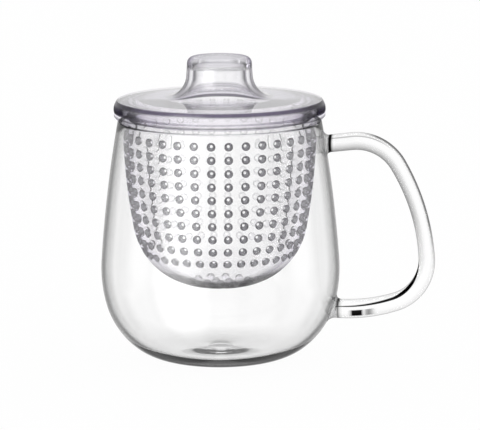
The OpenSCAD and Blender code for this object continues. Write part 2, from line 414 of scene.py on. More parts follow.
@dataclass(frozen=True)
class ClearFinish:
    """A clear, glossy material, with painted shade that makes it greyer where it is seen edge on.

    Attributes:
        name: The material's name.
        shades: Its colour by how edge on it is seen, from 0 to 1, the edges' painted shade
            included.
        wave: The size of the slow waves in its surface, in metres.
        wave_height: How far those waves tilt the surface, from 0 to 1.
        ior: How strongly it bends light.
        depth: The colour that light takes on inside it.
        density: How quickly it takes on that colour, per metre.
        roughness: How frosted the surface is.
        level_shades: The same as shades, where the surface lies level.
        inner: Its colour seen from inside the material.
        inner_open: How much light goes straight on through it from there.
        open_to: How much light goes straight on through it from either side.
        open_gates: Where open_to holds.
        middle_r: The radius about the axis inside which middle_shades hold.
        middle_shades: The same as shades, inside that radius.
        streaks: Painted shade lines along it.
    """

    name: str
    shades: Stops
    wave: float
    wave_height: float
    ior: float = 1.47
    depth: Colour = (0.8, 0.81, 0.82)
    density: float = 1.0
    roughness: float = 0.0
    level_shades: Stops = ()
    inner: Colour | None = None
    inner_open: float = 0.0
    open_to: float = 0.0
    open_gates: tuple[Gate, ...] = ()
    middle_r: float = 0.0
    middle_shades: Stops = ()
    streaks: tuple[ShadeStreak, ...] = ()

    def colour(self, sheet: Sheet) -> Socket:
        """Adds the nodes of the surface's colour, its painted shade included.

        Args:
            sheet: The material's nodes.

        Returns:
            The colour.
        """
        edge_on = sheet.add("LayerWeight", {"Blend": 0.5}).outputs["Facing"]
        colour = sheet.ramp(edge_on, self.shades)
        if self.middle_shades:
            flat = sheet.vector("MULTIPLY", sheet.read("TexCoord", "Object"), FLAT)
            radius = sheet.vector("LENGTH", flat.outputs["Vector"]).outputs["Value"]
            is_middle = sheet.maths("LESS_THAN", radius, self.middle_r)
            colour = sheet.choose(is_middle, colour, sheet.ramp(edge_on, self.middle_shades))
        if self.level_shades:
            split = sheet.add("SeparateXYZ", {"Vector": sheet.read("NewGeometry", "Normal")})
            is_level = sheet.ramp(sheet.maths("ABSOLUTE", split.outputs["Z"]), LEVEL)
            colour = sheet.choose(is_level, colour, sheet.ramp(edge_on, self.level_shades))
        for streak in self.streaks:
            colour = sheet.choose(streak.factor(sheet, edge_on), colour, streak.tint)
        if self.inner is not None:
            colour = sheet.choose(sheet.read("NewGeometry", "Backfacing"), colour, self.inner)
        return colour

    def ripple(self, sheet: Sheet) -> Socket:
        """Adds the nodes of the slow waves and returns the waved normal."""
        place = sheet.read("TexCoord", "Object")
        noise = sheet.add("TexNoise", {"Vector": place, "Scale": 1 / self.wave, "Detail": 1.0})
        depth = {"Strength": self.wave_height, "Distance": self.wave * WAVE_SHARE}
        bump = sheet.add("Bump", {"Height": noise.outputs["Fac"], **depth})
        return bump.outputs["Normal"]

    def openness(self, sheet: Sheet) -> Socket:
        """Adds the nodes that say how much light goes straight on through the surface.

        Args:
            sheet: The material's nodes.

        Returns:
            The share, from 0 to 1.
        """
        share = sheet.read("LightPath", "Is Shadow Ray")
        if self.open_to:
            part = self.open_to
            for gate in self.open_gates:
                part = sheet.maths("MULTIPLY", part, gate.factor(sheet))
            share = sheet.maths("MAXIMUM", share, part)
        if self.inner_open:
            behind = sheet.read("NewGeometry", "Backfacing")
            part = sheet.maths("MULTIPLY", behind, self.inner_open)
            share = sheet.maths("MAXIMUM", share, part)
        return share

    def material(self) -> bpy.types.Material:
        """Builds the material.

        Returns:
            The material.
        """
        material, sheet = new_material(self.name)
        colour = self.colour(sheet)
        surface = {
            "Base Color": colour,
            "Roughness": self.roughness,
            "IOR": self.ior,
            "Normal": self.ripple(sheet),
            "Transmission Weight": 1.0,
        }
        bent = sheet.add("BsdfPrincipled", surface).outputs["BSDF"]
        # Light that goes straight on through takes the painted shade as well.
        tint = SHADOW_TINT
        if self.open_to:
            tint = sheet.add("Gamma", {"Color": colour, "Gamma": HALVING}).outputs["Color"]
        straight = sheet.add("BsdfTransparent", {"Color": tint}).outputs["BSDF"]
        sheet.finish(self.openness(sheet), bent, straight)

        inside = sheet.add("VolumeAbsorption", {"Color": self.depth, "Density": self.density})
        sheet.feed(inside.outputs["Volume"], sheet.output.inputs["Volume"])
        return material


UP = (0, 0, 1)
DOWN = (0, 0, -1)
ALONG = (1, 0, 0)
EVEN = ((0, 1), (1, 1))
PLASTIC_IOR = 1.53

HIGH_UP = lies(UP, (60, 0), (65, 1))
LOW_DOWN = lies(UP, (25, 1), (30, 0))
# Painted shade: dark stripes across the rod's upper and lower welds.
UPPER_WELD_SHADE = ShadeStreak(EVEN, (lies(ALONG, (40.7, 0), (41.3, 1), (42.3, 1), (43, 0)), HIGH_UP))
LOWER_WELD_SHADE = ShadeStreak(EVEN, (lies(ALONG, (43.8, 0), (44.5, 1), (45.4, 1), (46.1, 0)), LOW_DOWN))
# Painted shade: a thin dark line along the top of the upper arm.
ARM_SHADE_LINE = ShadeStreak(
    ((0.1, 0), (0.13, 0.7), (0.19, 0.7), (0.24, 0)),
    (faces((-0.5, 0, 0.87), (0.2, 0), (0.4, 1)), HIGH_UP),
)
# Painted shade: a dark line along the outer side of the rod.
OUTER_SHADE_LINE = ShadeStreak(
    ((0.24, 0), (0.42, 0.93), (0.8, 0.93), (1, 0.5)),
    (faces((1, 0, 0.3), (0.35, 0), (0.6, 1)), lies(UP, (34, 0), (52, 1))),
)
INNER_SHADE = ShadeStreak(
    ((0, 0.06), (0.015, 0.19), (0.04, 0.3), (0.08, 0.39), (0.134, 0.48))
    + ((0.21, 0.56), (0.31, 0.66), (0.44, 0.77), (1, 0.85)),
    (faces((-0.87, 0, -0.5), (-0.25, 0), (0.1, 1)), lies(UP, (33, 0), (55, 1))),
)
# Painted shade: a dark line round the inner side of the lower bend.
HEEL_SHADE_LINE = ShadeStreak(
    ((0, 1), (0.8, 1), (1, 0.6)),
    (
        faces((0.234, 0.791, 0.566), (-0.55, 0), (-0.52, 1)),
        faces((-0.602, -0.7985, 0.0041), (0.69, 0), (0.72, 1)),
        lies(UP, (48, 1), (60, 0)),
    ),
)
# Painted shade: a dark patch on the lower arm near its bend.
HEEL_SHADE_PATCH = ShadeStreak(
    ((0, 1), (0.5, 1), (0.6, 0)),
    (
        faces(UP, (-0.7, 0), (-0.58, 1), (0, 1), (0.08, 0)),
        lies(ALONG, (49, 0), (50, 1), (54.2, 1), (55, 0.1), (55.9, 1), (57.5, 0.8), (59.5, 0)),
        lies(UP, (22, 1), (24, 0)),
    ),
)
# Painted shade: a dark band along the basket's lower outline.
BASKET_EDGE_SHADE = ShadeStreak(((0.5, 0), (0.62, 0.95), (1, 1)), (faces(DOWN, (0.5, 0), (0.75, 1)),))
# Painted shade: a dark lilac band round the flange.
FLANGE_SHADE_BAND = ShadeStreak(
    EVEN,
    (
        faces(UP, (-0.6, 0), (-0.4, 1), (0.4, 1), (0.6, 0)),
        lies(UP, (89, 0), (89.6, 1), (91.9, 1), (92.6, 0)),
    ),
    (0.05, 0.046, 0.062),
)
LID_EDGE = lies(UP, (97.7, 1), (98, 0))
# Painted shade: a dark violet line round the lid's upper edge.
LID_EDGE_SHADE_LINE = ShadeStreak(
    EVEN,
    (faces(UP, (0.25, 0), (0.4, 1), (0.85, 1), (0.95, 0)), LID_EDGE),
    (0.03, 0.022, 0.05),
)
# Painted shade: near-black violet where the lid's edge is seen edge on.
LID_EDGE_END_SHADE = ShadeStreak(
    ((0.35, 0), (0.6, 1), (1, 1)),
    (faces(UP, (-0.3, 0), (-0.1, 1), (0.6, 1), (0.85, 0)), LID_EDGE),
    (0.001, 0.0005, 0.003),
)

# Each finish's shades are painted shade: greyer where a surface is seen edge on, and on the lid's
# level plate and knob.
BLOWN_GLASS = ClearFinish(
    name="blown_glass",
    shades=((0, 1), (0.42, 1), (0.5, 0.93), (0.57, 0.89), (0.64, 0.86))
    + ((0.74, 0.76), (0.82, 0.45), (0.9, 0.15), (1, 0.1)),
    wave=30 * MM,
    wave_height=0.02,
)
ROD_GLASS = ClearFinish(
    name="rod_glass",
    shades=((0, 1), (0.4, 0.97), (0.65, 0.8), (0.85, 0.4), (1, 0.3)),
    wave=12 * MM,
    wave_height=0.03,
    open_to=0.9,
    streaks=(UPPER_WELD_SHADE, LOWER_WELD_SHADE, ARM_SHADE_LINE, OUTER_SHADE_LINE, INNER_SHADE, HEEL_SHADE_LINE, HEEL_SHADE_PATCH),
)
WELD_GLASS = ClearFinish(
    name="weld_glass",
    shades=((0, 1), (0.4, 0.9), (0.8, 0.5), (1, 0.3)),
    wave=6 * MM,
    wave_height=0.08,
    open_to=0.6,
    streaks=(UPPER_WELD_SHADE, LOWER_WELD_SHADE),
)
STRAINER_PLASTIC = ClearFinish(
    name="strainer_plastic",
    ior=PLASTIC_IOR,
    shades=(
        (0, (1, 1, 1)),
        (0.5, (0.98, 0.975, 0.985)),
        (0.75, (0.93, 0.92, 0.95)),
        (0.95, (0.75, 0.73, 0.8)),
    ),
    level_shades=((0, 1), (1, 0.93)),
    streaks=(BASKET_EDGE_SHADE, FLANGE_SHADE_BAND),
    depth=(0.55, 0.5, 0.65),
    density=8,
    wave=8 * MM,
    wave_height=0.01,
    open_to=0.92,
)
# The dimples' greys are painted shade in the recesses; seen from inside they are near white and
# mostly open.
DIMPLE_PLASTIC = ClearFinish(
    name="dimple_plastic",
    ior=PLASTIC_IOR,
    shades=((0, (0.38, 0.38, 0.385)), (0.35, (0.22, 0.215, 0.23)), (0.8, (0.08, 0.07, 0.09))),
    middle_r=16 * MM,
    middle_shades=((0, 0.85), (1, 0.5)),
    depth=(0.57, 0.56, 0.6),
    density=20,
    wave=8 * MM,
    wave_height=0.01,
    roughness=0.25,
    inner=(0.97, 0.97, 0.975),
    inner_open=0.85,
)
LID_PLASTIC = ClearFinish(
    name="lid_plastic",
    ior=PLASTIC_IOR,
    shades=(
        (0, (0.965, 0.95, 0.98)),
        (0.5, (0.8, 0.76, 0.86)),
        (0.7, (0.4, 0.37, 0.46)),
        (0.8, (0.07, 0.06, 0.11)),
        (1, (0.02, 0.015, 0.03)),
    ),
    level_shades=(
        (0, (0.95, 0.94, 0.97)),
        (0.7, (0.82, 0.805, 0.85)),
        (0.9, (0.48, 0.47, 0.505)),
    ),
    middle_r=24 * MM,
    middle_shades=(
        (0, (0.98, 0.978, 0.985)),
        (0.45, (0.9, 0.895, 0.915)),
        (0.6, (0.6, 0.57, 0.64)),
        (0.75, (0.3, 0.28, 0.34)),
        (1, (0.1, 0.09, 0.12)),
    ),
    depth=(0.55, 0.53, 0.62),
    density=12,
    wave=14 * MM,
    wave_height=0.015,
    open_to=0.85,
    open_gates=(lies(UP, (92, 1), (95, 1), (96, 0), (109, 0), (111, 1)),),
    streaks=(LID_EDGE_SHADE_LINE, LID_EDGE_END_SHADE),
)


# ---- Mug ----


@dataclass(frozen=True)
class MugBody:
    """The blown glass mug: a flat foot, a belly and a long flank up to the mouth."""

    belly_d: float = 89.8 * MM
    belly_z: float = 33.4 * MM
    belly_r: float = 49.8 * MM
    hip_r: float = 30.3 * MM
    hip_a: float = math.radians(-15.4)
    corner_r: float = 21.4 * MM
    flank_r: float = 488 * MM
    mouth_d: float = 76.4 * MM
    height: float = 89.5 * MM
    wall: float = 1.6 * MM
    floor_t: float = 2.6 * MM
    drop_d: float = 10 * MM
    drop_h: float = 0.8 * MM
    side_cuts: tuple[int, ...] = (16, 12, 6, 6, 14)
    rim_cuts: int = 10
    drop_cuts: int = 8

    @property
    def belly_c(self) -> Vector:
        """Centre of the belly's arc."""
        return Vector((self.belly_d / 2 - self.belly_r, self.belly_z))

    @property
    def hip_c(self) -> Vector:
        """Centre of the curve between the belly and the corner."""
        return self.belly_c + toward(self.hip_a) * (self.belly_r - self.hip_r)

    @property
    def rim_c(self) -> Vector:
        """Middle of the rounded rim."""
        return Vector(((self.mouth_d - self.wall) / 2, self.height - self.wall / 2))

    @property
    def flank_a(self) -> float:
        """Angle, about the belly's centre, where the flank takes over."""
        to_rim = self.rim_c - self.belly_c
        step = self.flank_r - self.belly_r
        reach = (self.flank_r - self.wall / 2) ** 2
        along = (reach - step**2 - to_rim.length_squared) / (2 * step)
        return angle_of(to_rim) - math.acos(along / to_rim.length)

    @property
    def flank_c(self) -> Vector:
        """Centre of the flank's arc."""
        return self.belly_c - toward(self.flank_a) * (self.flank_r - self.belly_r)

    @property
    def rim_a(self) -> float:
        """Angle, about the flank's centre, where the rim takes over."""
        return angle_of(self.rim_c - self.flank_c)

    def corner_c(self, inset: float, base: float) -> Vector:
        """Finds the centre of the corner's curve.

        Args:
            inset: How far the outline is moved in from the outer face.
            base: The height of the flat that the curve leaves.

        Returns:
            The centre, as (radius, height).
        """
        r = self.corner_r - inset
        gap = self.hip_r - inset - r
        rise = self.hip_c.y - base - r
        return Vector((self.hip_c.x + math.sqrt(gap**2 - rise**2), base + r))

    def side(self, inset: float, base: float) -> list[Point]:
        """Draws the half outline from the flat up to the rim.

        Args:
            inset: How far the outline is moved in from the outer face.
            base: The height of the flat.

        Returns:
            The outline's points, from the flat up.
        """
        centre = self.corner_c(inset, base)
        corner_a = angle_of(centre - self.hip_c)
        curves = (
            (centre, self.corner_r, -math.pi / 2, corner_a),
            (self.hip_c, self.hip_r, corner_a, self.hip_a),
            (self.belly_c, self.belly_r, self.hip_a, 0),
            (self.belly_c, self.belly_r, 0, self.flank_a),
            (self.flank_c, self.flank_r, self.flank_a, self.rim_a),
        )
        points = []
        for (middle, radius, start, end), cuts in zip(curves, self.side_cuts):
            points += arc(middle, radius - inset, start, end, cuts)[1 if points else 0 :]
        return points

    def outer_radius(self, z: float) -> float:
        """Gives the radius of the outer face at a height on the hip, the belly or the flank."""
        if z < self.belly_z + self.belly_r * math.sin(self.hip_a):
            return self.hip_c.x + math.sqrt(self.hip_r**2 - (z - self.hip_c.y) ** 2)
        if z < self.flank_c.y + self.flank_r * math.sin(self.flank_a):
            return self.belly_c.x + math.sqrt(self.belly_r**2 - (z - self.belly_z) ** 2)
        return self.flank_c.x + math.sqrt(self.flank_r**2 - (z - self.flank_c.y) ** 2)

    def build(self) -> Object:
        """Spins the mug's outline and dresses it.

        Returns:
            The mug's glass wall.
        """
        half = self.wall / 2
        drop_r = ((self.drop_d / 2) ** 2 + self.drop_h**2) / (2 * self.drop_h)
        drop_a = math.asin(self.drop_d / 2 / drop_r)
        drop_c = (0.0, self.floor_t + self.drop_h - drop_r)
        inner = self.side(self.wall, self.floor_t)
        rim_a = self.rim_a
        outline = (
            [(0.0, 0.0)]
            + self.side(0.0, 0.0)
            + arc(self.rim_c, half, rim_a, math.pi + rim_a, self.rim_cuts)[1:-1]
            + inner[::-1]
            + arc(drop_c, drop_r, math.pi / 2 - drop_a, math.pi / 2, self.drop_cuts)
        )
        bm = bmesh.new()
        spin_profile(bm, outline)
        dress = (Body.MUG, Slot.MUG, (BLOWN_GLASS,), ("mug_body",))
        return make_piece(bm, "mug_glass_wall", 40, *dress)


# ---- Handle ----


@dataclass(frozen=True)
class Bend:
    """One bend of the rod: its radius, its heading in degrees at its end, and its steps."""

    radius: float
    end: float
    steps: int


@dataclass(frozen=True)
class RodHandle:
    """The bent glass rod, drawn thinner half way down and flared on to the wall."""

    mug: MugBody
    rod_d: float = 6.6 * MM
    waist_d: float = 5.9 * MM
    tail_d: float = 7.2 * MM
    drop: float = 8.2 * MM
    rise: float = 7.0
    reach: float = 7.2 * MM
    weld_d: float = 10.4 * MM
    weld_t: float = 3 * MM
    flare_angles: tuple[float, ...] = (0, 25, 50, 75)
    flare_share: float = 0.7
    seam: float = 0.05 * MM
    sides: int = 32
    straight_steps: int = 6
    bends: tuple[Bend, ...] = (
        Bend(17.7 * MM, -59, 22),
        Bend(77.5 * MM, -86, 16),
        Bend(17 * MM, -161, 26),
        Bend(61 * MM, -186, 14),
    )

    def stations(self) -> list[tuple[Vector, float]]:
        """Walks along the rod's middle line.

        Returns:
            Each station's place in the plane y = 0 and its heading in radians.
        """
        z = self.mug.height - self.drop
        heading = math.radians(self.rise)
        ahead = toward(heading) * (self.reach + self.weld_t)
        start = Vector((self.mug.outer_radius(z), z))
        steps = self.straight_steps
        walk = [(start + ahead * i / steps, heading) for i in range(steps + 1)]
        for bend in self.bends:
            at, heading = walk[-1]
            centre = at + bend.radius * Vector((math.sin(heading), -math.cos(heading)))
            end = math.radians(bend.end)
            for i in range(1, bend.steps + 1):
                turned = heading + (end - heading) * i / bend.steps
                out = Vector((-math.sin(turned), math.cos(turned)))
                walk.append((centre + bend.radius * out, turned))
        clear = self.weld_t / 3
        return [(at, turn) for at, turn in walk if at.x > self.mug.outer_radius(at.y) + clear]

    def thickness(self, z: float, top: float, low: float) -> float:
        """Gives the rod's diameter where its middle line is at height z."""
        middle, half = (top + low) / 2, (top - low) / 2
        end = self.rod_d if z > middle else self.tail_d
        return self.waist_d + (end - self.waist_d) * ((z - middle) / half) ** 2

    def ring(self, at: Vector, heading: float, diameter: float) -> list[Vector]:
        """Draws the rod's round section at a station.

        Args:
            at: The section's middle, as (x, z).
            heading: The way that the rod runs there.
            diameter: The rod's diameter there.

        Returns:
            The section's corners.
        """
        points = []
        for k in range(self.sides):
            turn = FULL_TURN * k / self.sides
            across, up = diameter / 2 * math.sin(turn), diameter / 2 * math.cos(turn)
            lean, lift = up * math.sin(heading), up * math.cos(heading)
            points.append(Vector((at.x - lean, across, at.y + lift)))
        return points

    def on_wall(self, points: list[Vector], inset: float) -> list[Vector]:
        """Slides points along X on to the mug's wall, inset metres short of it."""
        return [
            Vector((math.sqrt(self.mug.outer_radius(p.z) ** 2 - p.y**2) + inset, p.y, p.z))
            for p in points
        ]

    def flare(self, at: Vector, heading: float, diameter: float) -> list[list[Vector]]:
        """Draws the rings that spread from the rod's end on to the wall.

        Args:
            at: The end of the rod's middle line.
            heading: The rod's heading there, in radians.
            diameter: The rod's diameter there.

        Returns:
            The rings, from the wall out to the rod.
        """
        spread = (self.weld_d - diameter) / 2
        rings = []
        for angle in self.flare_angles:
            a = math.radians(angle)
            d = self.weld_d - 2 * spread * math.sin(a)
            inset = self.seam + self.weld_t * self.flare_share * (1 - math.cos(a))
            rings.append(self.on_wall(self.ring(at, heading, d), inset))
        return rings

    def build(self) -> Object:
        """Sweeps the rod along its bends and dresses it.

        Returns:
            The handle.
        """
        walk = self.stations()
        top = max(at.y for at, _ in walk)
        low = min(at.y for at, _ in walk)
        rod = [(at, heading, self.thickness(at.y, top, low)) for at, heading in walk]
        upper, lower = self.flare(*rod[0]), self.flare(*rod[-1])
        chain = upper + [self.ring(*station) for station in rod] + lower[::-1]
        bm = bmesh.new()
        loops = [closed_loop(bm, points) for points in chain]
        bands = bridge(bm, loops)
        use_second_finish(bands[: len(upper)] + bands[-len(lower) :])
        for loop in (loops[0], loops[-1]):
            bmesh.ops.contextual_create(bm, geom=loop)
        nodes = ("handle", "upper_weld", "lower_weld")
        dress = (Body.MUG, Slot.HANDLE, (ROD_GLASS, WELD_GLASS), nodes)
        return make_piece(bm, "handle_rod", 50, *dress)


# ---- Strainer ----


@dataclass(frozen=True)
class Strainer:
    """The moulded basket: rows of dimples, each with a hole, under a flange."""

    mug: MugBody
    depth: float = 62.5 * MM
    wall: float = 1.5 * MM
    gap: float = 0.5 * MM
    corner_r: float = 27 * MM
    side_r: float = 226 * MM
    flange_t: float = 3.2 * MM
    flange_out: float = 1.2 * MM
    bevel_w: float = 1.5 * MM
    bevel_h: float = 2 * MM
    flange_soft: float = 0.4 * MM
    columns: int = 36
    rows: int = 10
    row_pitch: float = 4.96 * MM
    row_drop: float = 4.7 * MM
    bowl_r: float = 1.6 * MM
    hole_rings: tuple[tuple[int, float, float], ...] = ((6, 5 * MM, 8 * MM), (12, 11 * MM, 14 * MM))
    middle_r: float = 2.4 * MM
    dimple_sides: int = 12
    dimple_cuts: int = 3
    patch_cuts: int = 4
    soft_cuts: int = 4
    corner_cuts: int = 12

    @property
    def radius(self) -> float:
        """Outer radius of the basket at the rim."""
        return self.mug.mouth_d / 2 - self.mug.wall - self.gap

    @property
    def floor_z(self) -> float:
        """Height of the basket's under face."""
        return self.mug.height - self.depth

    @property
    def side_c(self) -> Vector:
        """Centre of the long curve of the side."""
        return Vector((self.radius - self.side_r, self.mug.height))

    @property
    def corner_c(self) -> Vector:
        """Centre of the lower curve."""
        lift = self.floor_z + self.corner_r
        step = self.side_r - self.corner_r
        return Vector((self.side_c.x + math.sqrt(step**2 - (self.mug.height - lift) ** 2), lift))

    @property
    def side_a(self) -> float:
        """Angle where the lower curve ends and the side begins."""
        return angle_of(self.corner_c - self.side_c)

    def on_wall(self, z: float, inset: float) -> Point:
        """Finds a point of the wall.

        Args:
            z: The height on the outer face.
            inset: How far the point lies inside that face.

        Returns:
            The point, as (radius, height).
        """
        if z > self.corner_c.y + self.corner_r * math.sin(self.side_a):
            centre, r = self.side_c, self.side_r
        else:
            centre, r = self.corner_c, self.corner_r
        a = math.asin((z - centre.y) / r)
        return (centre.x + (r - inset) * math.cos(a), centre.y + (r - inset) * math.sin(a))

    def on_floor(self, radius: float, inset: float) -> Point:
        """Finds a point of the floor from its radius on the under face.

        Args:
            radius: The radius on the under face.
            inset: The depth in the floor.

        Returns:
            The point, as (radius, z).
        """
        centre = self.corner_c
        if radius <= centre.x:
            return (radius, self.floor_z + inset)
        a = -math.acos((radius - centre.x) / self.corner_r)
        reach = self.corner_r - inset
        return (centre.x + reach * math.cos(a), centre.y + reach * math.sin(a))

    def dimple_steps(self) -> list[tuple[float, float]]:
        """Gives a bowl's section as (radius, depth), from the outer face in to its hole."""
        deepest = math.asin(self.wall / self.bowl_r)
        angles = [deepest * i / self.dimple_cuts for i in range(self.dimple_cuts + 1)]
        return [(self.bowl_r * math.cos(a), self.bowl_r * math.sin(a)) for a in angles]

    def drill(
        self,
        bm: Mesh,
        border: Callable[[float], list[Vector]],
        circle: Callable[[float, float], list[Vector]],
        count: int,
    ) -> None:
        """Adds a patch with a dimple through it, and copies it round the axis.

        Args:
            bm: The mesh.
            border: Draws the patch's edge at a depth.
            circle: Draws the dimple's edge at a radius and a depth.
            count: How many patches go round.
        """
        before = set(bm.verts)
        loops = [closed_loop(bm, border(0.0))]
        loops += [closed_loop(bm, circle(r, d)) for r, d in self.dimple_steps()]
        loops += [closed_loop(bm, border(self.wall))]
        use_second_finish(bridge(bm, loops)[1:-1])
        patch = [v for v in bm.verts if v not in before]
        linked = [part for v in patch for part in (*v.link_edges, *v.link_faces)]
        spin(bm, patch + list(dict.fromkeys(linked)), count - 1, count, copies=True)

    def wall_row(self, bm: Mesh, row: int) -> None:
        """Adds one row of dimples, each in its own patch of the wall.

        Args:
            bm: The mesh to add to.
            row: The row's number, from the top down.
        """
        middle_z = self.mug.height - self.row_drop - row * self.row_pitch
        half_turn = math.pi / self.columns
        middle_r = self.on_wall(middle_z, 0)[0]
        on_side = middle_z > self.corner_c.y
        centre, reach = (self.side_c, self.side_r) if on_side else (self.corner_c, self.corner_r)
        lean = math.asin((middle_z - centre.y) / reach)
        quarter = self.dimple_sides // 4

        def border(inset: float) -> list[Vector]:
            """Draws the patch's edge at a depth in the wall.

            Args:
                inset: The depth.

            Returns:
                The edge's points.
            """
            corners = [(1, -1), (1, 1), (-1, 1), (-1, -1)]
            points = []
            for (a0, b0), (a1, b1) in zip(corners, corners[1:] + corners[:1]):
                for i in range(quarter):
                    across = a0 + (a1 - a0) * i / quarter
                    up = b0 + (b1 - b0) * i / quarter
                    r, z = self.on_wall(middle_z + up * self.row_pitch / 2, inset)
                    points.append(polar(r, half_turn * (1 + across), z))
            return points

        def circle(radius: float, inset: float) -> list[Vector]:
            """Draws the dimple's round edge at a depth in the wall.

            Args:
                radius: The edge's radius.
                inset: The depth.

            Returns:
                The edge's points.
            """
            points = []
            for k in range(self.dimple_sides):
                a = FULL_TURN * k / self.dimple_sides - math.pi / 4
                z = middle_z + radius * math.sin(a) * math.cos(lean)
                r, height = self.on_wall(z, inset)
                points.append(polar(r, half_turn + radius * math.cos(a) / middle_r, height))
            return points

        self.drill(bm, border, circle, self.columns)

    def floor_ring(
        self,
        bm: Mesh,
        ring_r: float,
        span: tuple[float, float],
        sectors: int,
        cuts: tuple[int, int],
    ) -> None:
        """Adds a ring of holes in the floor, each in its own patch.

        Args:
            bm: The mesh.
            ring_r: The radius that the holes lie on.
            span: The radii of the patch's inner and outer edges.
            sectors: How many holes the ring has.
            cuts: How many steps the inner and the outer edge have in one patch.
        """
        half = math.pi / sectors

        def place(radius: float, turn: float, inset: float) -> Vector:
            """Finds the floor's point at a radius and a turn."""
            r, z = self.on_floor(radius, inset)
            return polar(r, turn, z)

        def border(inset: float) -> list[Vector]:
            """Draws the patch's edge at a depth in the floor."""
            low, high = span
            inner, outer = cuts
            out = [place(high, -half + 2 * half * i / outer, inset) for i in range(outer + 1)]
            back = [place(low, half - 2 * half * i / inner, inset) for i in range(inner + 1)]
            return out + back

        def circle(radius: float, inset: float) -> list[Vector]:
            """Draws a hole's round edge at a depth in the floor.

            Args:
                radius: The edge's radius.
                inset: The depth.

            Returns:
                The edge's points.
            """
            points = []
            for k in range(self.dimple_sides):
                a = FULL_TURN * k / self.dimple_sides
                x, y = ring_r + radius * math.cos(a), radius * math.sin(a)
                points.append(place(math.hypot(x, y), math.atan2(y, x), inset))
            return points

        self.drill(bm, border, circle, sectors)

    def floor(self, bm: Mesh) -> None:
        """Adds the floor: a patch with one hole in the middle, and rings of holes round it.

        Args:
            bm: The mesh to add to.
        """
        edge_r, first = self.middle_r, self.hole_rings[0][0]
        sections = [(edge_r, 0.0)] + self.dimple_steps() + [(edge_r, self.wall)]
        steps, start = first * self.patch_cuts, -math.pi / first
        circles = [level_circle(r, self.floor_z + inset, steps, start) for r, inset in sections]
        use_second_finish(bridge(bm, [closed_loop(bm, points) for points in circles])[1:-1])
        counts = [count for count, _, _ in self.hole_rings[1:]]
        outer_steps = [count * self.patch_cuts for count in counts] + [STEPS]
        for (count, ring_r, outer_r), steps in zip(self.hole_rings, outer_steps):
            cuts = (self.patch_cuts, steps // count)
            self.floor_ring(bm, ring_r, (edge_r, outer_r), count, cuts)
            edge_r = outer_r

    def build(self) -> Object:
        """Builds the basket with its flange and dresses it.

        Returns:
            The strainer.
        """
        bm = bmesh.new()
        for row in range(self.rows):
            self.wall_row(bm, row)
        first = self.mug.height - self.row_drop + self.row_pitch / 2
        last = first - self.rows * self.row_pitch
        flange_r = self.mug.mouth_d / 2 + self.flange_out
        top = self.mug.height + self.flange_t
        inner_r = self.radius - self.wall
        edge = self.flange_soft
        collar = (
            [self.on_wall(first, 0.0), (self.radius, self.mug.height)]
            + [(flange_r - self.bevel_w, self.mug.height)]
            + [(flange_r, self.mug.height + self.bevel_h)]
            + arc((flange_r - edge, top - edge), edge, 0, math.pi / 2, self.soft_cuts)
            + arc((inner_r + edge, top - edge), edge, math.pi / 2, math.pi, self.soft_cuts)
            + [self.on_wall(self.mug.height, self.wall), self.on_wall(first, self.wall)]
        )
        around = self.columns * self.dimple_sides // 4
        spin_profile(bm, collar, around)

        self.floor(bm)
        for inset in (0.0, self.wall):
            start = Vector(self.on_floor(self.hole_rings[-1][2], inset)) - self.corner_c
            end = Vector(self.on_wall(last, inset)) - self.corner_c
            angles = (angle_of(start), angle_of(end))
            bowl = arc(self.corner_c, self.corner_r - inset, *angles, self.corner_cuts)
            spin_profile(bm, bowl[1:], around)
            circles = [level_circle(*at, steps) for at, steps in zip(bowl, (STEPS, around))]
            bridge(bm, [closed_loop(bm, points) for points in circles])
        finishes = (STRAINER_PLASTIC, DIMPLE_PLASTIC)
        dress = (Body.STRAINER, Slot.STRAINER, finishes, ("strainer",))
        return make_piece(bm, "strainer_basket", 35, *dress)


# ---- Lid ----


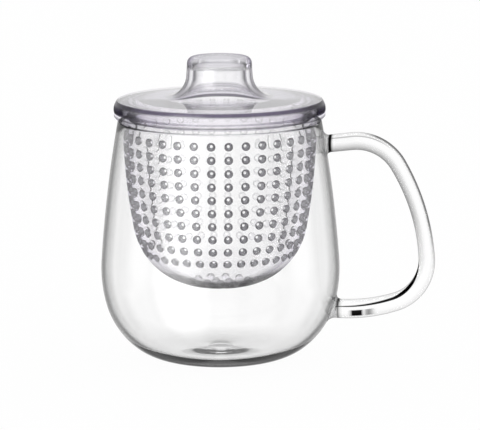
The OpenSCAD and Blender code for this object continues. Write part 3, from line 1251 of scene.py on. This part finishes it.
@dataclass(frozen=True)
class Lid:
    """The moulded lid: a thick edge, a spigot and a hollow knob in one piece."""

    strainer: Strainer
    out: float = 0.1 * MM
    edge_t: float = 4.7 * MM
    crown: float = 0.8 * MM
    plate_t: float = 2.4 * MM
    spigot_h: float = 2.5 * MM
    spigot_t: float = 2 * MM
    spigot_gap: float = 0.5 * MM
    slope_w: float = 2 * MM
    bow_r: float = 5.5 * MM
    bow_lift: float = 1.2 * MM
    edge_round: float = 1 * MM
    under_round: float = 0.6 * MM
    knob_d: float = 24.1 * MM
    knob_h: float = 15.2 * MM
    knob_round: float = 2.6 * MM
    knob_lean: float = math.radians(4)
    cap_t: float = 3 * MM
    ceiling_round: float = 2.2 * MM
    flare_r: float = 8.5 * MM
    neck_t: float = 2.3 * MM
    corner_cuts: int = 6
    bow_cuts: int = 10
    ceiling_cuts: int = 8
    flare_cuts: int = 20
    crest_cuts: int = 12

    @property
    def seat_z(self) -> float:
        """Height of the flange that the lid rests on."""
        return self.strainer.mug.height + self.strainer.flange_t

    @property
    def plate_z(self) -> float:
        """Height of the plate's top where the knob's flare meets it."""
        return self.seat_z + self.edge_t + self.crown

    @property
    def knob_z(self) -> float:
        """Height of the knob's top."""
        return self.plate_z + self.knob_h

    def edge(self) -> list[Point]:
        """Draws the bowed edge between its two rounded corners, from the seat up.

        Returns:
            The edge's points, as (radius, z).
        """
        mug_r = self.strainer.mug.mouth_d / 2
        bow_c = (
            mug_r + self.strainer.flange_out + self.out - self.bow_r,
            self.seat_z + self.bow_lift,
        )
        quarter = math.pi / 2

        def corner(radius: float, z: float) -> tuple[Point, float]:
            """Finds a corner's centre at height z and the angle where it meets the bow."""
            rise = z - bow_c[1]
            run = math.sqrt((self.bow_r - radius) ** 2 - rise**2)
            return (bow_c[0] + run, z), math.atan2(rise, run)

        under_c, under_a = corner(self.under_round, self.seat_z + self.under_round)
        over_c, over_a = corner(self.edge_round, self.seat_z + self.edge_t - self.edge_round)
        return (
            arc(under_c, self.under_round, -quarter, under_a, self.corner_cuts)
            + arc(bow_c, self.bow_r, under_a, over_a, self.bow_cuts)[1:]
            + arc(over_c, self.edge_round, over_a, quarter, self.corner_cuts)[1:]
        )

    def lean_x(self, z: float, off: float) -> float:
        """Finds the radius at height z that stands off the knob's side by off, inwards."""
        crest_x, crest_z = self.knob_d / 2 - self.knob_round, self.knob_z - self.knob_round
        away = (self.knob_round - off) / math.cos(self.knob_lean)
        return crest_x + away + (crest_z - z) * math.tan(self.knob_lean)

    def build(self) -> Object:
        """Spins the lid's outline and dresses it.

        Returns:
            The lid.
        """
        quarter = math.pi / 2
        seat_z, plate_z, knob_z = self.seat_z, self.plate_z, self.knob_z
        spigot_r = self.strainer.radius - self.strainer.wall - self.spigot_gap
        flare_z = plate_z + self.flare_r
        flare_c = (self.lean_x(flare_z, -self.flare_r), flare_z)
        flare_a = math.pi + self.knob_lean
        ceiling_z = knob_z - self.cap_t - self.ceiling_round
        ceiling_c = (self.lean_x(ceiling_z, self.neck_t + self.ceiling_round), ceiling_z)
        crest_c = (self.knob_d / 2 - self.knob_round, knob_z - self.knob_round)
        outline = (
            [(0.0, knob_z - self.cap_t)]
            + arc(ceiling_c, self.ceiling_round, quarter, self.knob_lean, self.ceiling_cuts)
            + arc(flare_c, self.flare_r + self.neck_t, flare_a, 3 * quarter, self.flare_cuts)
            + [
                (spigot_r - self.spigot_t - self.slope_w, plate_z - self.plate_t),
                (spigot_r - self.spigot_t, seat_z),
                (spigot_r - self.spigot_t, seat_z - self.spigot_h),
                (spigot_r, seat_z - self.spigot_h),
                (spigot_r, seat_z),
            ]
            + self.edge()
            + arc(flare_c, self.flare_r, 3 * quarter, flare_a, self.flare_cuts)
            + arc(crest_c, self.knob_round, self.knob_lean, quarter, self.crest_cuts)
            + [(0.0, knob_z)]
        )
        bm = bmesh.new()
        spin_profile(bm, outline)
        dress = (Body.LID, Slot.LID, (LID_PLASTIC,), ("lid",))
        return make_piece(bm, "lid_with_knob", 30, *dress)


# ---- Studio ----


@dataclass(frozen=True)
class Studio:
    """The white floor, the light and the camera.

    The world is white, with darker gaps between panels. A softbox and dark cards
    are there for reflections alone. Headings and elevations are in degrees, the
    camera's other angles in radians, the lens and its sensor in millimetres. A
    heading's stops run from 0 at the middle to 1 at the far side.

    Attributes:
        look_z: The height of the point that the camera looks at.
        floor_glow: How much of the floor is plain white, and not shaded.
        panel: The heading from one gap to the next.
        gaps: How light the world is, from a panel's middle to a gap's.
        gap_reach: How strong the gaps are, by elevation.
        through: How light the world is, by elevation.
        softbox, softbox_reach: How light the softbox is, by heading and elevation.
        softbox_level: How much lighter than white it is.
        flags: How dark the cards behind the mug are, by heading.
        low_flags, low_reach: The same for the low cards, by heading and elevation.
        mirrored: How light the world is in reflections, by elevation.
    """

    azimuth: float = 10.0
    elevation: float = 0.1761983
    distance: float = 1.0
    look_z: float = 60 * MM
    lens: float = 200.04
    sensor: float = 36.0
    yaw: float = 0.0074156
    roll: float = -0.0053816
    pitch: float = -0.0065250
    floor_r: float = 6.0
    floor_grey: float = 0.9
    floor_glow: float = 0.97
    panel: float = 45.0
    gaps: Stops = ((0, 1), (0.45, 1), (0.85, 0.25), (1, 0.25))
    gap_reach: Stops = ((-43, 0), (-35, 1), (3, 1), (11, 0))
    through: Stops = ((-90, 1), (3, 1), (20, 0.45), (50, 0.4), (65, 0.8), (90, 0.9))
    softbox_heading: float = 240.0
    softbox: Stops = ((0, 1), (0.06, 1), (0.2, 0))
    softbox_reach: Stops = ((-75, 0), (-30, 1), (30, 1), (60, 0))
    softbox_level: float = 6.0
    flags: Stops = ((0, 0), (0.04, 0), (0.08, 0.45), (0.3, 0.45), (0.42, 0))
    low_flags: Stops = ((0, 0.6), (0.3, 0.6), (0.42, 0))
    low_reach: Stops = ((-50, 0), (-38, 1), (-30, 1), (-18, 0))
    mirrored: Stops = ((-90, 1), (12, 1), (40, 0.6), (90, 0.9))

    def camera(self) -> None:
        """Places the camera and turns it as its small yaw, roll and pitch say."""
        ahead = Vector((0, math.cos(self.elevation), -math.sin(self.elevation)))
        at = Vector((0, 0, self.look_z)) - ahead * self.distance
        place = Matrix.Rotation(math.radians(self.azimuth), 4, "Z") @ Matrix.Translation(at)
        tip = math.pi / 2 - self.elevation + self.pitch
        for axis, angle in (("X", tip), ("Y", -self.yaw), ("Z", self.roll)):
            place = place @ Matrix.Rotation(angle, 4, axis)
        data = bpy.data.cameras.new("camera")
        data.lens = self.lens
        data.sensor_width = self.sensor
        data.clip_start, data.clip_end = 0.01, 50.0
        camera = bpy.data.objects.new("camera", data)
        camera.matrix_world = place
        bpy.context.scene.collection.objects.link(camera)
        bpy.context.scene.camera = camera

    def floor(self) -> None:
        """Lays a white floor that keeps a soft shadow."""
        bm = bmesh.new()
        bmesh.ops.create_circle(bm, cap_ends=True, radius=self.floor_r, segments=64)
        mesh = bpy.data.meshes.new("floor")
        bm.to_mesh(mesh)
        bm.free()
        floor = bpy.data.objects.new("floor", mesh)
        bpy.context.scene.collection.objects.link(floor)
        floor.visible_transmission = False
        floor.visible_glossy = False
        material, sheet = new_material("white_floor")
        paint = sheet.add("BsdfDiffuse", {"Color": self.floor_grey}).outputs["BSDF"]
        glow = sheet.add("Emission", {"Color": 1.0}).outputs["Emission"]
        sheet.finish(self.floor_glow, paint, glow)
        mesh.materials.append(material)

    def sky(self) -> None:
        """Surrounds the scene with white panels and darker gaps between them."""
        world = bpy.data.worlds.new("studio")
        bpy.context.scene.world = world
        world.use_nodes = True
        sheet = Sheet(world.node_tree, "OutputWorld")
        split = sheet.add("SeparateXYZ", {"Vector": sheet.read("TexCoord", "Generated")})
        climb = sheet.maths("ARCSINE", split.outputs["Z"])
        height = sheet.maths("MULTIPLY_ADD", climb, 1 / math.pi, 0.5)
        heading = sheet.maths("ARCTAN2", split.outputs["Y"], split.outputs["X"])

        def by_elevation(stops: Stops) -> Socket:
            """Ramps a value by elevation."""
            return sheet.ramp(height, tuple(((a + 90) / 180, v) for a, v in stops))

        def by_heading(middle: float, fold: float, stops: Stops) -> Socket:
            """Ramps a value, again and again, from a middle heading to a fold away from it."""
            aside = sheet.maths("SUBTRACT", heading, math.radians(middle))
            aside = sheet.maths("PINGPONG", aside, math.radians(fold))
            return sheet.ramp(sheet.maths("DIVIDE", aside, math.radians(fold)), stops)

        away = 90 + self.azimuth
        gaps = by_heading(away, self.panel / 2, self.gaps)
        reach, through = by_elevation(self.gap_reach), by_elevation(self.through)
        around = sheet.choose(reach, through, gaps, "MULTIPLY")

        softbox = by_heading(self.softbox_heading, 180, self.softbox)
        softbox = sheet.maths("MULTIPLY", softbox, by_elevation(self.softbox_reach))
        softbox = sheet.maths("MULTIPLY", softbox, self.softbox_level)
        mirrored = sheet.maths("MAXIMUM", by_elevation(self.mirrored), softbox)
        low = by_heading(away, 180, self.low_flags)
        low = sheet.maths("MULTIPLY", low, by_elevation(self.low_reach))
        dark = sheet.maths("MAXIMUM", by_heading(away, 180, self.flags), low)
        mirrored = sheet.maths("MULTIPLY", mirrored, sheet.maths("SUBTRACT", 1.0, dark))

        path = sheet.add("LightPath")
        around = sheet.choose(path.outputs["Is Reflection Ray"], around, mirrored)
        for ray in ("Is Diffuse Ray", "Is Camera Ray"):
            around = sheet.choose(path.outputs[ray], around, 1.0)
        backdrop = sheet.add("Background", {"Color": around})
        sheet.feed(backdrop.outputs["Background"], sheet.output.inputs["Surface"])

    def build(self) -> None:
        """Sets up the whole studio."""
        bpy.context.scene.view_settings.view_transform = "Standard"
        self.camera()
        self.floor()
        self.sky()


def main() -> None:
    """Builds the studio and the pieces in order, and reports each piece."""
    logging.basicConfig(level=logging.INFO, format="%(message)s")
    Studio().build()
    mug = MugBody()
    strainer = Strainer(mug)
    for maker in (mug, RodHandle(mug), strainer, Lid(strainer)):
        piece = maker.build()
        low, high = (Vector(corner) for corner in (piece.bound_box[0], piece.bound_box[6]))
        LOG.info("%s spans %s to %s mm", piece.name, list(low / MM), list(high / MM))


if __name__ == "__main__":
    main()
